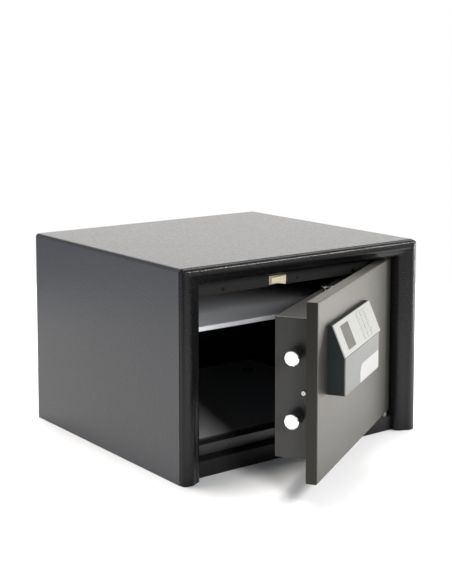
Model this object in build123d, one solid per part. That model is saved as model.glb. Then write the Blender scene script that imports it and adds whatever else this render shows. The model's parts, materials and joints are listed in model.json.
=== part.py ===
from build123d import *
import math
import os

# In-room safe: a double-walled steel cabinet with a hinged door, shown with its door ajar and its bolts
# thrown. Millimetres, +Z up, +X to the right and +Y into the cabinet as the user sees it. The origin is
# the centre of the cabinet's bottom face. Door parts are drawn with the door shut, then swung open.

# ---- cabinet ----
WIDTH = 472.0
DEPTH = 440.0
HEIGHT = 320.0
HALF_W = WIDTH / 2
FRONT = -DEPTH / 2
BACK = DEPTH / 2
SHEET = 2.0
BEND_R = 6.0
SEAM_Y = FRONT + 12.0
SEAM_GAP = 0.3
TUCK = SHEET + 0.2

# ---- front frame: moulded posts and top rail, set in from the shell's outer faces by a small step ----
POST_W = 37.0
RAIL_H = 27.5
FRAME_DEPTH = 44.5
FRAME_WALL = 1.5
FRAME_INSET = 0.8
FRAME_CORNER_R = 7.5
FRAME_ROLL_R = 6.0
CROWN = 1.3
ENVELOPE_EASE = 0.07
FRAME_BACK = FRONT + FRAME_DEPTH
POST_IN = HALF_W - POST_W
RAIL_LOW = HEIGHT - RAIL_H

# ---- liner and its front flange ----
LINER_T = 1.5
CAVITY_X = 201.5
CAVITY_Z = (38.0, 284.5)
CAVITY_BACK = 188.0
FLANGE_Z = (20.0, 296.0)
DOORWAY_X = 180.0
DOORWAY_Z = (41.0, 268.0)
FIT_GAP = 0.2

# ---- rebate strips around the doorway ----
STRIP_T = 1.5
STRIP_Y = FRAME_BACK - STRIP_T
STRIP_Z = (25.5, 286.0)
STRIP_HALF_W = POST_IN - 0.1
BUTT_GAP = 0.1
TOP_SCREWS_X = (-133.0, 12.0, 130.0)
BOTTOM_SCREWS_X = (-125.0, 0.0, 125.0)
SIDE_SCREWS_Z = (75.0, 155.0, 235.0)
TOP_SCREW_Z = 274.0
BOTTOM_SCREW_Z = 31.5
SIDE_SCREW_X = 189.5
SCREW_R = 2.0
SCREW_HEAD_R = 3.6
SOCKET_R = 1.4
NUT_R = 4.0
NUT_T = 4.0
NOTCH_X = (-45.0, -9.0)
NOTCH_TOP = 283.7
KEEPER_PROUD = 2.5
KEEPER_LIP = 3.0
KEEPER_LOW = 270.0

# ---- kick panel and fixings ----
KICK_Y = -199.0
KICK_TOP = 24.5
ANCHOR_R = 6.5
ANCHOR_SLEEVE_R = 10.0
ANCHOR_X = 150.0
ANCHOR_Y = (-90.0, 130.0)
ANCHOR_Z = 160.0

# ---- shelf and mat ----
SHELF_Z = (198.0, 205.0)
SHELF_Y = (-117.0, 187.0)
SHELF_T = 1.2
SHELF_HALF_W = 200.8
MAT_T = 3.0
MAT_FRONT = -150.0

# ---- door leaf, drawn shut ----
HINGE_X = 188.0
HINGE_Y = -191.05
DOOR_OPEN = 31.3
LEAF_X = (-196.0, 195.0)
LEAF_Z = (33.5, 290.0)
LEAF_FRONT = -199.3
LEAF_BACK = -182.8
LEAF_SKIN = 3.0
LEAF_EDGE = 1.5
LEAF_R = 2.0
BACK_PLATE_T = 2.0
PIN_R = 3.0
RUNNING = 0.05
HINGE_BUSH_R = 4.2
HINGE_GRIP = 24.5
HINGE_BLOCK_W = 12.0
HINGE_SEAT_HALF = 9.5
HINGE_SEAT_INSET = 4.0
WASHER_R = 6.5
PIN_SPACE = 0.1

# ---- lock case on the back of the leaf ----
CASE_X = (-174.0, 173.0)
CASE_Z = (59.5, 262.0)
CASE_BACK = -128.8
CASE_T = 1.5
COVER_SCREW_Y = -172.3
COVER_SCREW_Z = 155.5
COVER_SCREW_X = 69.0
COVER_HEAD = (3.2, 2.2)
COVER_SHANK_R = 1.5
COVER_SOCKET_R = 1.2
TAB_HALF_W = 9.0
TAB_REACH = 18.0

# ---- bolts and their drive ----
BOLT_R = 11.0
BOLT_Y = -162.0
BOLTS_Z = (209.5, 120.0)
BOLT_END = -199.0
CARRIAGE_X = (-141.0, -137.0)
RACK_Y = (-172.0, -166.0)
RACK_FOOT = 144.0
LIFT_Y = (-164.0, -158.0)
LIFT_X = (-32.0, -17.0)
LIFT_FOOT = 155.0
TOP_BOLT_X = -27.0
TOP_BOLT_Y = -158.5
TOP_BOLT_TOP = 280.2
TOP_HEAD_R = 9.0
TOP_HEAD_T = 2.4
TOP_NECK_R = 5.5
TOP_NECK_FOOT = 238.0
BUSH_WALL = 2.0
BUSH_LIP = 3.2
BUSH_LIP_T = 0.8
BUSH_L = 9.0
BOLT_STUD_R = 4.0
GUIDE_GAP = 0.3
GUIDE_WALL = 4.0
ACROSS_GUIDE_X = (-112.0, -74.0)
LIFT_GUIDE_Z = (196.0, 214.0)
PINION_X = -10.0
PINION_Z = 165.0
SHAFT_R = 2.5
BIG_MODULE = 1.5
BIG_TEETH = 14
SMALL_MODULE = 0.8
SMALL_TEETH = 15
PRESSURE = math.radians(20)
RACK_ADDENDUM = 0.8
RACK_DEDENDUM = 1.25
TOOTH_PLAY = 0.16
SHAFT_Y = (-176.0, -147.5)

# ---- gear motor on its bridge ----
GEARBOX_Y = (-156.0, -146.0)
GEARBOX_R = 15.0
MOTOR_CAN_Y = -133.0
MOTOR_CAN_R = 12.0
MOTOR_BOSS_R = 5.8
TERMINALS_DX = (-7.0, 7.0)
BRIDGE_T = 1.5
BRIDGE_FLANGE = 2.0
BRIDGE_X = (-42.0, 18.0)
BRIDGE_Z = (148.0, 190.0)
BRIDGE_LEG_FOOT = 160.0
PINION_BUSH_R = 5.0
PINION_BUSH_END = -174.0
BIG_R = BIG_MODULE * BIG_TEETH / 2
SMALL_R = SMALL_MODULE * SMALL_TEETH / 2

# ---- keypad console on the front of the leaf ----
CONSOLE_X = (-152.0, 33.0)
LOWER_RIGHT = 23.0
CONSOLE_LOW = 150.4
CONSOLE_TOP = 250.0
FOLD_Z = 205.0
CONSOLE_FRONT = LEAF_FRONT - 26.6
TOP_LIP_Y = LEAF_FRONT - 8.0
PLATE_T = 1.8
HOUSING_T = 2.0
SLOPE = math.hypot(TOP_LIP_Y - CONSOLE_FRONT, CONSOLE_TOP - FOLD_Z)
WINDOW_S = (24.5, 62.0)
WINDOW_T = (6.3, 42.4)
KEY_COLUMNS = (112.0, 130.0, 148.0)
KEY_ROWS = (40.2, 29.6, 19.0, 8.4)
KEY_NAMES = ("1", "2", "3", "4", "5", "6", "7", "8", "9", "clear", "0", "enter")
KEY_W = 13.4
KEY_H = 7.6
KEY_GAP = 0.35
KEY_PROUD = 0.4
COVER_X = (-76.0, 22.7)
COVER_TOP = 177.5
COVER_R = 14.0
COVER_LOW = 152.7
TONGUE_T = 1.4
CELL_R = 5.2
CELL_L = 44.5
CELL_Y = -208.5
CELL_ROWS_Z = (159.8, 170.8)
CELL_FIRST_X = -70.0
CELL_SPACE = 1.5
TRAY_FRONT = -215.0
TRAY_LOW = 153.0
TRAY_WALL = 1.6
BOARD_S = (14.0, 168.0)
BOARD_T = (4.5, 44.0)
BOARD_DEPTH = (-8.0, -6.4)
STEM_R = 2.0
STEM_FOOT = -5.2

TINY = 0.01


def block(x0, x1, y0, y1, z0, z1):
    """An upright box between two corners."""
    middle = Pos((x0 + x1) / 2, (y0 + y1) / 2, (z0 + z1) / 2)
    return middle * Box(x1 - x0, y1 - y0, z1 - z0)


def rod_x(x0, x1, y, z, radius):
    return Pos((x0 + x1) / 2, y, z) * Rot(0, 90, 0) * Cylinder(radius, x1 - x0)


def rod_y(y0, y1, x, z, radius):
    return Pos(x, (y0 + y1) / 2, z) * Rot(90, 0, 0) * Cylinder(radius, y1 - y0)


def rod_z(z0, z1, x, y, radius):
    return Pos(x, y, (z0 + z1) / 2) * Cylinder(radius, z1 - z0)


def prism_x(points, x0, x1):
    """A prism along X from an outline of (y, z) points."""
    face = Plane.YZ.offset(x0) * make_face(Polyline(*points, close=True))
    return extrude(face, x1 - x0)


def prism_y(points, y0, y1):
    """A prism along Y from an outline of (x, z) points."""
    face = Plane.XZ.offset(-y0) * make_face(Polyline(*points, close=True))
    return extrude(face, -(y1 - y0))


def both_sides(shape):
    return [shape, mirror(shape, Plane.YZ)]


def hung(shape):
    """Swing a part of the closed door open about the hinge pins."""
    return shape.rotate(Axis((HINGE_X, HINGE_Y, 0), (0, 0, 1)), DOOR_OPEN)


def save(name, *shapes):
    solids = [solid for shape in shapes for solid in shape.solids()]
    whole = solids[0] if len(solids) == 1 else Compound(children=solids)
    whole.label = name
    export_step(whole, f"parts/{name}.step")


def save_hung(name, *shapes):
    save(name, *[hung(shape) for shape in shapes])


# ---- cabinet ----


def rounded_arch(half_width, height, radius, y0, y1):
    """A solid the shape of the cabinet's front view: square at the foot, bent at both top corners."""
    body = block(-half_width, half_width, y0, y1, 0, height)
    top_edges = body.edges().filter_by(Axis.Y).group_by(Axis.Z)[-1]
    return fillet(top_edges, radius)


def outer_shell():
    outside = rounded_arch(HALF_W, HEIGHT, BEND_R, SEAM_Y + SEAM_GAP, BACK)
    room = rounded_arch(HALF_W - SHEET, HEIGHT - SHEET, BEND_R - SHEET, SEAM_Y - 1, BACK + 1)
    return outside - room


def moulding(width, wall=0.0):
    """Outline of a frame member, or of the hollow inside its wall.

    Points run across the member from the cabinet's outer face, and back from its front plane.
    """
    k = width / POST_W
    edge = FRAME_INSET + wall
    inner = width - wall
    back = FRAME_DEPTH - wall
    tuck = TUCK + wall
    step = SEAM_Y - FRONT - wall
    roll_end = (edge + 5.6, CROWN + wall)
    crown_end = (15 * k, wall)
    dip = (26 * k - 0.3 * wall, 5.2 + wall)
    roll = Bezier((edge, step), (edge, 4.4 + 0.6 * wall), (edge + 1.8, 2.1 + wall), roll_end)
    crown = Bezier(roll_end, (edge + 8.2, CROWN / 3 + wall), (edge + 9.2, wall), crown_end)
    shoulder = Bezier(crown_end, (18.5 * k - 0.3 * wall, wall), (21 * k - 0.4 * wall, 3.5 + wall), dip)
    nose = Bezier(dip, (32 * k - 0.7 * wall, 7.2 + wall), (inner, 11 + 0.5 * wall), (inner, 18))
    rest = Polyline((inner, 18), (inner, back), (tuck, back), (tuck, step), (edge, step))
    return make_face(Curve() + [roll, crown, shoulder, nose, rest])


def frame_envelope(wall=0.0):
    """The space the frame keeps to: bent at both upper corners, with its front edge rolled over.

    It stands a hair proud of the straight members, so it shapes only their corners.
    """
    inset = FRAME_INSET + wall - ENVELOPE_EASE
    front = FRONT + wall - ENVELOPE_EASE
    radius = FRAME_CORNER_R - wall
    body = rounded_arch(HALF_W - inset, HEIGHT - inset, radius, front, FRAME_BACK + 1)
    front_edges = body.faces().sort_by(Axis.Y)[0].edges().sort_by(Axis.Z)
    return fillet(front_edges[1:], FRAME_ROLL_R - wall)


def mitre_line(side):
    """Two points of the mitre plane, well outside the frame's corner at both ends."""
    out = (side * (HALF_W + POST_W), HEIGHT + RAIL_H)
    inside = (side * (POST_IN - POST_W), RAIL_LOW - RAIL_H)
    return out, inside


def tuck_waste():
    """What the shell's bend takes off the frame's two upper corners, where the frame tucks in."""
    radius = BEND_R - SHEET
    x = HALF_W - SHEET
    z = HEIGHT - SHEET
    y0 = SEAM_Y + SEAM_GAP / 2
    y1 = FRAME_BACK + 1
    waste = block(-x - 1, -x + radius, y0, y1, z - radius, z + 1)
    return both_sides(waste - rod_y(y0 - 1, y1 + 1, -x + radius, z - radius, radius))


def post():
    """The left post: a moulded tube, cut to the mitre above and closed by a plate at its foot."""
    plane = Plane((-HALF_W, FRONT, 0), x_dir=(1, 0, 0), z_dir=(0, 0, 1))
    member = extrude(plane * moulding(POST_W), HEIGHT) & frame_envelope()
    hollow = extrude(plane.offset(FRAME_WALL) * moulding(POST_W, FRAME_WALL), HEIGHT)
    member -= hollow & frame_envelope(FRAME_WALL)
    out, inside = mitre_line(-1)
    member -= prism_y([out, inside, (inside[0], out[1])], FRONT - 5, FRAME_BACK + 5)
    return member - tuck_waste()


def top_rail():
    plane = Plane((-HALF_W, FRONT, HEIGHT), x_dir=(0, 0, -1), z_dir=(1, 0, 0))
    rail = extrude(plane * moulding(RAIL_H), WIDTH) & frame_envelope()
    rail -= extrude(plane * moulding(RAIL_H, FRAME_WALL), WIDTH) & frame_envelope(FRAME_WALL)
    for side in (-1, 1):
        out, inside = mitre_line(side)
        rail -= prism_y([out, inside, (out[0], inside[1])], FRONT - 5, FRAME_BACK + 5)
    rail -= tuck_waste()
    return rail - rod_z(RAIL_LOW - 1, RAIL_LOW + 3, HINGE_X, HINGE_Y, PIN_R + PIN_SPACE)


def anchor_axes_floor():
    return [(x, y) for x in (-ANCHOR_X, ANCHOR_X) for y in ANCHOR_Y]


def floor_holes(z0, z1, radius):
    return [rod_z(z0, z1, x, y, radius) for x, y in anchor_axes_floor()]


def rear_holes(y0, y1, radius):
    return [rod_y(y0, y1, x, ANCHOR_Z, radius) for x in (-ANCHOR_X, ANCHOR_X)]


def base_plate():
    plate = block(-HALF_W + SHEET, HALF_W - SHEET, FRAME_BACK, BACK - SHEET, 0, SHEET)
    return plate - floor_holes(-1, SHEET + 1, ANCHOR_R)


def back_plate(shell):
    plate = block(-HALF_W + SHEET, HALF_W - SHEET, BACK - SHEET, BACK, 0, HEIGHT - SHEET) - shell
    return plate - rear_holes(BACK - SHEET - 1, BACK + 1, ANCHOR_R)


def kick_panel():
    x = STRIP_HALF_W
    front = block(-x, x, KICK_Y, KICK_Y + SHEET, 0, KICK_TOP)
    ledge = block(-x, x, KICK_Y, FRAME_BACK, KICK_TOP - SHEET, KICK_TOP)
    panel = front + ledge
    return panel - rod_z(KICK_TOP - SHEET - 1, KICK_TOP + 1, HINGE_X, HINGE_Y, PIN_R + PIN_SPACE)


def screw_places():
    """(x, z) of every screw that holds the rebate strips."""
    top = [(x, TOP_SCREW_Z) for x in TOP_SCREWS_X]
    bottom = [(x, BOTTOM_SCREW_Z) for x in BOTTOM_SCREWS_X]
    sides = [(x, z) for x in (-SIDE_SCREW_X, SIDE_SCREW_X) for z in SIDE_SCREWS_Z]
    return top + bottom + sides


def screw_holes(y0, y1, radius):
    return [rod_y(y0, y1, x, z, radius) for x, z in screw_places()]


def keeper_notch(y0, y1):
    return block(*NOTCH_X, y0, y1, DOORWAY_Z[1] - 20, NOTCH_TOP)


def liner():
    """The inner box, open at the front and welded to the back of its flange."""
    low, high = CAVITY_Z
    y0 = FRAME_BACK + LINER_T
    y1 = CAVITY_BACK
    wall = CAVITY_X + LINER_T
    box = block(-wall, wall, y0, y1 + LINER_T, low - LINER_T, high + LINER_T)
    box -= block(-CAVITY_X, CAVITY_X, y0 - 1, y1, low, high)
    box -= floor_holes(low - 5, low + 1, ANCHOR_R)
    return box - rear_holes(y1 - 1, y1 + 5, ANCHOR_R)


def liner_flange():
    """Flat plate around the doorway, which carries the rebate strips."""
    wall = CAVITY_X + LINER_T
    y0 = FRAME_BACK
    y1 = y0 + LINER_T
    plate = block(-wall, wall, y0, y1, *FLANGE_Z)
    plate -= block(-DOORWAY_X, DOORWAY_X, y0 - 1, y1 + 1, *DOORWAY_Z)
    plate -= screw_holes(y0 - 1, y1 + 1, SCREW_R + RUNNING)
    return plate - keeper_notch(y0 - 1, y1 + 1)


def insulation_panels():
    """Five slabs that fill the space between the outer shell and the liner."""
    wall = CAVITY_X + LINER_T
    low = CAVITY_Z[0] - LINER_T
    high = CAVITY_Z[1] + LINER_T
    gap = FIT_GAP
    y0 = FRAME_BACK + 0.5
    y1 = BACK - SHEET - gap
    bend = HEIGHT - BEND_R - 0.5
    side = block(-HALF_W + SHEET + gap, -wall - gap, y0, y1, SHEET + gap, bend)
    top = block(-wall + gap, wall - gap, y0 + 2, y1, high + gap, HEIGHT - SHEET - gap)
    bottom = block(-wall + gap, wall - gap, y0 + 8, y1, SHEET + gap, low - gap)
    bottom -= floor_holes(0, low + 1, ANCHOR_SLEEVE_R + gap)
    rear = block(-wall + gap, wall - gap, CAVITY_BACK + LINER_T + gap, y1, low + gap, high - gap)
    rear -= rear_holes(CAVITY_BACK, BACK, ANCHOR_SLEEVE_R + gap)
    return [*both_sides(side), top, bottom, rear]


def anchor_sleeves():
    """Spacer tubes that carry the anchor bolts' clamping load past the insulation."""
    low = CAVITY_Z[0] - LINER_T
    behind = CAVITY_BACK + LINER_T
    floor_tubes = zip(floor_holes(SHEET, low, ANCHOR_SLEEVE_R), floor_holes(0, low + 1, ANCHOR_R))
    y1 = BACK - SHEET
    rear_tubes = zip(rear_holes(behind, y1, ANCHOR_SLEEVE_R), rear_holes(behind - 1, BACK, ANCHOR_R))
    return [tube - bore for tube, bore in [*floor_tubes, *rear_tubes]]


def strip(x0, x1, z0, z1):
    bar = block(x0, x1, STRIP_Y, FRAME_BACK, z0, z1)
    return bar - screw_holes(STRIP_Y - 1, FRAME_BACK + 1, SCREW_R + RUNNING) - countersinks()


def top_strip():
    bar = strip(-STRIP_HALF_W, STRIP_HALF_W, DOORWAY_Z[1], STRIP_Z[1])
    return bar - keeper_notch(STRIP_Y - 1, FRAME_BACK + 1)


def side_strips():
    low, high = DOORWAY_Z
    return both_sides(strip(-STRIP_HALF_W, -DOORWAY_X, low + BUTT_GAP, high - BUTT_GAP))


def countersinks():
    cone = Rot(-90, 0, 0) * Cone(SCREW_HEAD_R + 0.05, SCREW_R + 0.05, STRIP_T)
    return [Pos(x, STRIP_Y + STRIP_T / 2, z) * cone for x, z in screw_places()]


def strip_screws():
    head = Rot(-90, 0, 0) * Cone(SCREW_HEAD_R, SCREW_R, STRIP_T)
    shank_end = FRAME_BACK + LINER_T + NUT_T + 1.5
    screws = []
    for x, z in screw_places():
        screw = Pos(x, STRIP_Y + STRIP_T / 2, z) * head
        screw += rod_y(STRIP_Y + STRIP_T - TINY, shank_end, x, z, SCREW_R)
        screws.append(screw - rod_y(STRIP_Y - 1, STRIP_Y + 1.1, x, z, SOCKET_R))
    return screws


def strip_nuts():
    """Hexagonal weld nuts on the back of the liner's flange."""
    y0 = FRAME_BACK + LINER_T
    face = Plane.XZ * RegularPolygon(NUT_R, 6)
    nut = extrude(face, -NUT_T)
    bores = screw_holes(y0 - 1, y0 + NUT_T + 1, SCREW_R + RUNNING)
    return [Pos(x, y0, z) * nut - bore for (x, z), bore in zip(screw_places(), bores)]


def top_keeper():
    """Nylon block in the notch of the top strip, with a flange behind the liner's flange."""
    nose = [(-42, 272.5), (-42, 281), (-30, 281.5), (-14, 283.2), (-14, 268.5), (-30, 272)]
    y_back = FRAME_BACK + LINER_T
    body = prism_y(nose, STRIP_Y - KEEPER_PROUD, y_back)
    x0 = NOTCH_X[0] - KEEPER_LIP
    x1 = NOTCH_X[1] + KEEPER_LIP
    return body + block(x0, x1, y_back, y_back + 1, KEEPER_LOW, CAVITY_Z[1] - SEAM_GAP)


def shelf():
    x = SHELF_HALF_W
    tray = block(-x, x, *SHELF_Y, *SHELF_Z)
    tray = fillet(tray.faces().sort_by(Axis.Y)[0].edges().group_by(Axis.Z)[-1], SHELF_T)
    y0 = SHELF_Y[0] + SHELF_T
    y1 = SHELF_Y[1] - SHELF_T
    return tray - block(-x + SHELF_T, x - SHELF_T, y0, y1, SHELF_Z[0] - 1, SHELF_Z[1] - SHELF_T)


def shelf_supports():
    """Four angle brackets on the liner's side walls."""
    top = SHELF_Z[0]
    brackets = []
    for y in (-80, 120):
        leg = block(-CAVITY_X, -CAVITY_X + SHEET, y, y + 40, top - 13, top)
        foot = block(-CAVITY_X, -CAVITY_X + 14, y, y + 40, top - SHEET, top)
        brackets += both_sides(leg + foot)
    return brackets


def floor_mat():
    low = CAVITY_Z[0]
    edge = CAVITY_X - 1
    mat = block(-edge, edge, MAT_FRONT, CAVITY_BACK - 1, low, low + MAT_T)
    return mat - floor_holes(low - 1, low + MAT_T + 1, ANCHOR_SLEEVE_R + MAT_T)


# ---- hinge ----


def hinge_pins():
    lower = rod_z(6, LEAF_Z[0] + LEAF_EDGE + HINGE_GRIP - 2, HINGE_X, HINGE_Y, PIN_R)
    upper = rod_z(LEAF_Z[1] - LEAF_EDGE - HINGE_GRIP + 2, HEIGHT - 8, HINGE_X, HINGE_Y, PIN_R)
    return [lower, upper]


def hinge_seats():
    """Steel blocks behind the kick panel and inside the top rail, which hold the pins."""
    x0 = HINGE_X - HINGE_SEAT_HALF
    x1 = HINGE_X + HINGE_SEAT_HALF
    y0 = KICK_Y + SHEET
    y1 = HINGE_Y + HINGE_SEAT_HALF
    lower = block(x0, x1, y0, y1, HINGE_SEAT_INSET, KICK_TOP - SHEET)
    upper = block(x0, x1, y0, y1, RAIL_LOW + FRAME_WALL, HEIGHT - HINGE_SEAT_INSET)
    bore = rod_z(0, HEIGHT, HINGE_X, HINGE_Y, PIN_R)
    return [lower - bore, upper - bore]


def hinge_washers():
    bore = rod_z(0, HEIGHT, HINGE_X, HINGE_Y, PIN_R + PIN_SPACE)
    lower = rod_z(KICK_TOP, LEAF_Z[0] - FIT_GAP, HINGE_X, HINGE_Y, WASHER_R)
    upper = rod_z(LEAF_Z[1] + FIT_GAP, RAIL_LOW, HINGE_X, HINGE_Y, WASHER_R)
    return [lower - bore, upper - bore]


def hinge_spans():
    """The height ranges of the two hinge blocks inside the leaf."""
    low = LEAF_Z[0] + LEAF_EDGE
    high = LEAF_Z[1] - LEAF_EDGE
    return [(low, low + HINGE_GRIP), (high - HINGE_GRIP, high)]


def hinge_blocks():
    y0 = LEAF_FRONT + LEAF_SKIN
    y1 = LEAF_BACK - BACK_PLATE_T
    x1 = LEAF_X[1] - LEAF_EDGE
    blocks = [block(HINGE_X - HINGE_BLOCK_W, x1, y0, y1, *span) for span in hinge_spans()]
    bore = rod_z(0, HEIGHT, HINGE_X, HINGE_Y, HINGE_BUSH_R)
    return [piece - bore for piece in blocks]


def hinge_bushes():
    bore = rod_z(0, HEIGHT, HINGE_X, HINGE_Y, PIN_R + RUNNING)
    return [rod_z(*span, HINGE_X, HINGE_Y, HINGE_BUSH_R) - bore for span in hinge_spans()]


# ---- door leaf and lock case ----


def door_leaf():
    """Folded pan: a thick front skin with four thin edges turned back."""
    leaf = block(*LEAF_X, LEAF_FRONT, LEAF_BACK, *LEAF_Z)
    leaf = fillet(leaf.faces().sort_by(Axis.Y)[0].edges(), LEAF_R)
    x0 = LEAF_X[0] + LEAF_EDGE
    x1 = LEAF_X[1] - LEAF_EDGE
    z0 = LEAF_Z[0] + LEAF_EDGE
    z1 = LEAF_Z[1] - LEAF_EDGE
    leaf -= block(x0, x1, LEAF_FRONT + LEAF_SKIN, LEAF_BACK + 1, z0, z1)
    return leaf - rod_z(0, HEIGHT, HINGE_X, HINGE_Y, PIN_R + 1)


def cover_tabs():
    """Four tabs that stand on the door's back plate, just inside the lock case."""
    y0 = LEAF_BACK
    y1 = LEAF_BACK + TAB_REACH
    inset = CASE_T + PIN_SPACE
    x0 = CASE_X[0] + inset
    x1 = CASE_X[1] - inset
    z0 = CASE_Z[0] + inset
    z1 = CASE_Z[1] - inset
    low = COVER_SCREW_Z - TAB_HALF_W
    high = COVER_SCREW_Z + TAB_HALF_W
    sides = [block(x0, x0 + SHEET, y0, y1, low, high), block(x1 - SHEET, x1, y0, y1, low, high)]
    left = COVER_SCREW_X - TAB_HALF_W
    right = COVER_SCREW_X + TAB_HALF_W
    ends = [block(left, right, y0, y1, z0, z0 + SHEET), block(left, right, y0, y1, z1 - SHEET, z1)]
    return sides + ends


def cover_screw_rods(radius, out0, out1):
    """Rods on the cover screws' axes, from out0 to out1 outward from the lock case."""
    y = COVER_SCREW_Y
    z = COVER_SCREW_Z
    left = rod_x(CASE_X[0] - out1, CASE_X[0] - out0, y, z, radius)
    right = rod_x(CASE_X[1] + out0, CASE_X[1] + out1, y, z, radius)
    foot = rod_z(CASE_Z[0] - out1, CASE_Z[0] - out0, COVER_SCREW_X, y, radius)
    head = rod_z(CASE_Z[1] + out0, CASE_Z[1] + out1, COVER_SCREW_X, y, radius)
    return [left, right, foot, head]


def door_back_plate():
    x0 = LEAF_X[0] + LEAF_EDGE
    x1 = LEAF_X[1] - LEAF_EDGE
    z0 = LEAF_Z[0] + LEAF_EDGE
    z1 = LEAF_Z[1] - LEAF_EDGE
    plate = block(x0, x1, LEAF_BACK - BACK_PLATE_T, LEAF_BACK, z0, z1)
    for tab in cover_tabs():
        plate += tab
    return plate - cover_screw_rods(COVER_SHANK_R, -2 * SHEET - CASE_T, 0)


def cover_screws():
    head_r, head_t = COVER_HEAD
    heads = cover_screw_rods(head_r, 0, head_t)
    shanks = cover_screw_rods(COVER_SHANK_R, -SHEET - 2 * CASE_T, TINY)
    sockets = cover_screw_rods(COVER_SOCKET_R, 1, head_t + 1)
    return [head + shank - socket for head, shank, socket in zip(heads, shanks, sockets)]


def door_box():
    """Cover of the lock case: a pan that is open towards the leaf."""
    case = block(*CASE_X, LEAF_BACK, CASE_BACK, *CASE_Z)
    rear = case.faces().sort_by(Axis.Y)[-1].edges()
    upright = case.edges().filter_by(Axis.Y)
    case = fillet(rear + upright, CASE_T)
    x0 = CASE_X[0] + CASE_T
    x1 = CASE_X[1] - CASE_T
    case -= block(x0, x1, LEAF_BACK - 1, CASE_BACK - CASE_T, CASE_Z[0] + CASE_T, CASE_Z[1] - CASE_T)
    case -= [rod_x(CASE_X[0] - 1, x0 + 1, BOLT_Y, z, BOLT_R + BUSH_WALL) for z in BOLTS_Z]
    roof = CASE_Z[1]
    case -= rod_z(roof - CASE_T - 1, roof + 1, TOP_BOLT_X, TOP_BOLT_Y, TOP_NECK_R + BUSH_WALL)
    return case - cover_screw_rods(COVER_SHANK_R, -CASE_T - 1, 1)


def bolt_bushes():
    """Black flanged bushes that guide the two side bolts through the case."""
    wall_x = CASE_X[0]
    outer = wall_x - BUSH_LIP_T
    inner = wall_x + BUSH_L
    bushes = []
    for z in BOLTS_Z:
        flange = rod_x(outer, wall_x, BOLT_Y, z, BOLT_R + BUSH_LIP)
        sleeve = rod_x(wall_x, inner, BOLT_Y, z, BOLT_R + BUSH_WALL)
        bushes.append(flange + sleeve - rod_x(outer - 1, inner + 1, BOLT_Y, z, BOLT_R + RUNNING))
    return bushes


def top_bolt_bush():
    roof = CASE_Z[1]
    axis = (TOP_BOLT_X, TOP_BOLT_Y)
    flange = rod_z(roof, roof + BUSH_LIP_T, *axis, TOP_NECK_R + BUSH_LIP)
    sleeve = rod_z(roof - BUSH_L, roof, *axis, TOP_NECK_R + BUSH_WALL)
    return flange + sleeve - rod_z(roof - BUSH_L - 1, roof + 2, *axis, TOP_NECK_R + RUNNING)


# ---- gears ----


def involute_flank(base_r, r):
    """Angle of an involute at radius r, from where it leaves the base circle."""
    if r <= base_r:
        return 0.0
    t = math.sqrt((r / base_r) ** 2 - 1)
    return t - math.atan(t)


def gear_face(module, teeth, first_tooth):
    """Spur gear outline about the origin, with a tooth centred at the angle first_tooth."""
    pitch_r = module * teeth / 2
    base_r = pitch_r * math.cos(PRESSURE)
    root_r = pitch_r - (RACK_ADDENDUM + 0.3) * module
    tip_r = pitch_r + module
    half_tooth = math.pi / (2 * teeth) - TOOTH_PLAY / pitch_r
    half_base = half_tooth + involute_flank(base_r, pitch_r)
    radii = [root_r] + [max(root_r, base_r) + (tip_r - max(root_r, base_r)) * i / 4 for i in range(5)]
    points = []
    for k in range(teeth):
        middle = first_tooth + 2 * math.pi * k / teeth
        rising = [(r, middle - half_base + involute_flank(base_r, r)) for r in radii]
        falling = [(r, middle + half_base - involute_flank(base_r, r)) for r in reversed(radii)]
        points += [(r * math.cos(a), r * math.sin(a)) for r, a in rising + falling]
    return make_face(Polyline(*points, close=True))


def rack_teeth(module, first, last, middle):
    """(along, out) points of a toothed edge whose pitch line is out = 0, with a gap at middle."""
    pitch = math.pi * module
    rise = RACK_ADDENDUM * module
    fall = RACK_DEDENDUM * module
    half = pitch / 4 - TOOTH_PLAY
    points = []
    k = math.ceil((first - middle) / pitch - 0.5)
    while middle + (k + 1) * pitch <= last:
        centre = middle + (k + 0.5) * pitch
        foot = half + fall * math.tan(PRESSURE)
        tip = half - rise * math.tan(PRESSURE)
        points += [(centre - foot, -fall), (centre - tip, rise), (centre + tip, rise), (centre + foot, -fall)]
        k += 1
    return points


def upright_gear(module, teeth, first_tooth, y0, y1):
    """A gear on the pinion's axis, which runs along Y. Angles run from +X towards +Z."""
    plane = Plane((PINION_X, y0, PINION_Z), x_dir=(1, 0, 0), z_dir=(0, -1, 0))
    return extrude(plane * gear_face(module, teeth, first_tooth), -(y1 - y0))


def drive_pinion():
    """Two gears on one shaft: the large one moves the side bolts, the small one the top bolt."""
    big = upright_gear(BIG_MODULE, BIG_TEETH, -math.pi / 2, *RACK_Y)
    small = upright_gear(SMALL_MODULE, SMALL_TEETH, math.pi, *LIFT_Y)
    hub = rod_y(RACK_Y[1] - TINY, LIFT_Y[0] + TINY, PINION_X, PINION_Z, SMALL_R - 1)
    shaft = rod_y(*SHAFT_Y, PINION_X, PINION_Z, SHAFT_R)
    return big + small + hub + shaft


def big_rack_line():
    """Height of the side bolts' toothed bar at its pitch line and at the roots of its teeth."""
    pitch_z = PINION_Z - BIG_R
    return pitch_z, pitch_z - RACK_DEDENDUM * BIG_MODULE


def lift_rack_line():
    """X of the top bolt's toothed bar at its pitch line and at the roots of its teeth."""
    pitch_x = PINION_X - SMALL_R
    return pitch_x, pitch_x - RACK_DEDENDUM * SMALL_MODULE


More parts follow.
